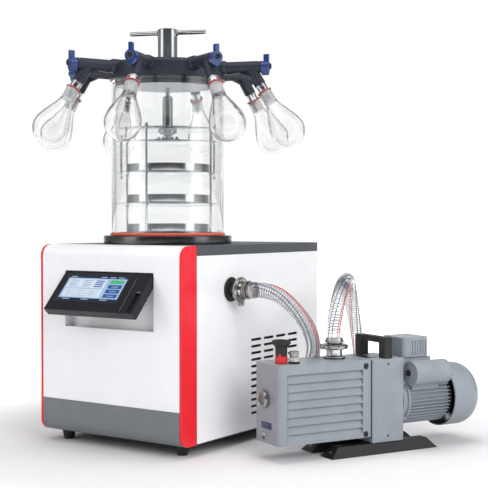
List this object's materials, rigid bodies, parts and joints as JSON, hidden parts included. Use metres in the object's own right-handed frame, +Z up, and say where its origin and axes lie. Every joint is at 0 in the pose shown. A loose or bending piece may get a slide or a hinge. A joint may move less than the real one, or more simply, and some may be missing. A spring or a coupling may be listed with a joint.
{
  "type": "freeze dryer",
  "caption": "Bench freeze dryer: clear drying chamber with trays and a stoppering press, a lid ringed by flask valves, a tilting screen, and a rotary vane pump on a clear hose.",
  "frame": {"origin": "on the floor, under the middle of the box round the cabinet, the chamber and the pump, without the hose", "axes": "+Z up; the screen faces -Y; the pump and the vacuum port are on the +X side"},
  "size_m": [0.9338, 0.6858, 0.9339],
  "materials": {
    "cabinet_white": "satin",
    "top_grey": "satin",
    "kick_grey": "satin",
    "trim_red": "gloss",
    "black_paint": "satin",
    "condenser_metal": "satin",
    "steel": "brushed",
    "polished_steel": "polished",
    "black_rubber": "matt",
    "housing_black": "satin",
    "screen_glass": "gloss",
    "flange_black": "gloss",
    "gasket_orange": "matt",
    "clear_acrylic": "clear, polished",
    "manifold_slate": "satin",
    "knob_blue": "satin",
    "flask_glass": "clear",
    "pump_paint": "hammered satin",
    "ballast_red": "satin",
    "clear_hose": "clear, wire reinforced"
  },
  "bodies": {
    "cabinet": {"base_flange": "flange_black", "base_gasket": "gasket_orange", "base_pan": "black_paint", "chamber_cylinder": "clear_acrylic", "cold_trap": "steel", "compressor": "black_paint", "condenser": "condenser_metal", "flask_1": "flask_glass", "flask_2": "flask_glass", "flask_3": "flask_glass", "flask_4": "flask_glass", "flask_5": "flask_glass", "flask_6": "flask_glass", "flask_7": "flask_glass", "flask_8": "flask_glass", "front_panel": "cabinet_white", "hose": "clear_hose", "inlet_coupling": "polished_steel", "kick_panel": "kick_grey", "manifold_lid": "manifold_slate", "port_bush": "black_rubber", "port_coupling": "polished_steel", "port_pipe": "steel", "pump_base": "black_paint", "pump_block": "pump_paint", "pump_fan_cover": "pump_paint", "pump_grip": "black_paint", "pump_motor": "pump_paint", "pump_oil_box": "pump_paint", "pump_oil_plug": "polished_steel", "pump_sight_glass": "polished_steel", "pump_terminal_box": "pump_paint", "rack_frame": "steel", "rear_panel": "cabinet_white", "shelf_1": "steel", "shelf_2": "steel", "shelf_3": "steel", "side_panel_left": "cabinet_white", "side_panel_right": "cabinet_white", "top_plate": "top_grey", "tray_1": "steel", "tray_2": "steel", "tray_3": "steel", "trim_left": "trim_red", "trim_right": "trim_red"},
    "handle": {"tee_handle": "polished_steel"},
    "feed_screw": {"feed_screw": "steel"},
    "press": {"press_plate": "steel"},
    "screen": {"screen_housing": "housing_black", "screen_glass": "screen_glass"},
    "ballast_knob": {"pump_ballast_knob": "ballast_red"},
    "pump_switch": {"pump_switch": "housing_black"},
    "valve_1": {"valve_knob_1": "knob_blue"},
    "valve_2": {"valve_knob_2": "knob_blue"},
    "valve_3": {"valve_knob_3": "knob_blue"},
    "valve_4": {"valve_knob_4": "knob_blue"},
    "valve_5": {"valve_knob_5": "knob_blue"},
    "valve_6": {"valve_knob_6": "knob_blue"},
    "valve_7": {"valve_knob_7": "knob_blue"},
    "valve_8": {"valve_knob_8": "knob_blue"}
  },
  "joints": [
    {"name": "handle_turn", "type": "hinge", "parent": "cabinet", "child": "handle", "pos_m": [-0.16065, -0.03661, 0.88], "axis": [0, 0, -1], "range_deg": [0, 2115]},
    {"name": "screw_feed", "type": "slide", "parent": "handle", "child": "feed_screw", "axis": [0, 0, -1], "range_m": [0, 0.047]},
    {"name": "press_feed", "type": "slide", "parent": "cabinet", "child": "press", "axis": [0, 0, -1], "range_m": [0, 0.047]},
    {"name": "screen_tilt", "type": "hinge", "parent": "cabinet", "child": "screen", "pos_m": [-0.16065, -0.24061, 0.379], "axis": [1, 0, 0], "range_deg": [0, 42]},
    {"name": "ballast_turn", "type": "hinge", "parent": "cabinet", "child": "ballast_knob", "pos_m": [0.20497, -0.12656, 0.2013], "axis": [0, 0, 1], "range_deg": [0, 180]},
    {"name": "switch_rock", "type": "hinge", "parent": "cabinet", "child": "pump_switch", "pos_m": [0.35713, 0.20511, 0.2243], "axis": [-0.891, 0.454, 0], "range_deg": [-16, 0]},
    {"name": "valve_turn_1", "type": "hinge", "parent": "cabinet", "child": "valve_1", "pos_m": [0.03932, -0.13371, 0.8406], "axis": [0.8996, -0.4368, 0], "range_deg": [0, 180]},
    {"name": "valve_turn_2", "type": "hinge", "parent": "cabinet", "child": "valve_2", "pos_m": [0.04941, 0.03613, 0.8406], "axis": [0.9449, 0.3272, 0], "range_deg": [0, 180]},
    {"name": "valve_turn_3", "type": "hinge", "parent": "cabinet", "child": "valve_3", "pos_m": [-0.06355, 0.16336, 0.8406], "axis": [0.4368, 0.8996, 0], "range_deg": [0, 180]},
    {"name": "valve_turn_4", "type": "hinge", "parent": "cabinet", "child": "valve_4", "pos_m": [-0.23339, 0.17345, 0.8406], "axis": [-0.3272, 0.9449, 0], "range_deg": [0, 180]},
    {"name": "valve_turn_5", "type": "hinge", "parent": "cabinet", "child": "valve_5", "pos_m": [-0.36062, 0.06049, 0.8406], "axis": [-0.8996, 0.4368, 0], "range_deg": [0, 180]},
    {"name": "valve_turn_6", "type": "hinge", "parent": "cabinet", "child": "valve_6", "pos_m": [-0.37072, -0.10935, 0.8406], "axis": [-0.9449, -0.3272, 0], "range_deg": [0, 180]},
    {"name": "valve_turn_7", "type": "hinge", "parent": "cabinet", "child": "valve_7", "pos_m": [-0.25775, -0.23658, 0.8406], "axis": [-0.4368, -0.8996, 0], "range_deg": [0, 180]},
    {"name": "valve_turn_8", "type": "hinge", "parent": "cabinet", "child": "valve_8", "pos_m": [-0.08791, -0.24667, 0.8406], "axis": [0.3272, -0.9449, 0], "range_deg": [0, 180]}
  ],
  "couplings": [
    {"joint": "screw_feed", "follows": "handle_turn", "m_per_rad": 0.0012732},
    {"joint": "press_feed", "follows": "handle_turn", "m_per_rad": 0.0012732}
  ]
}
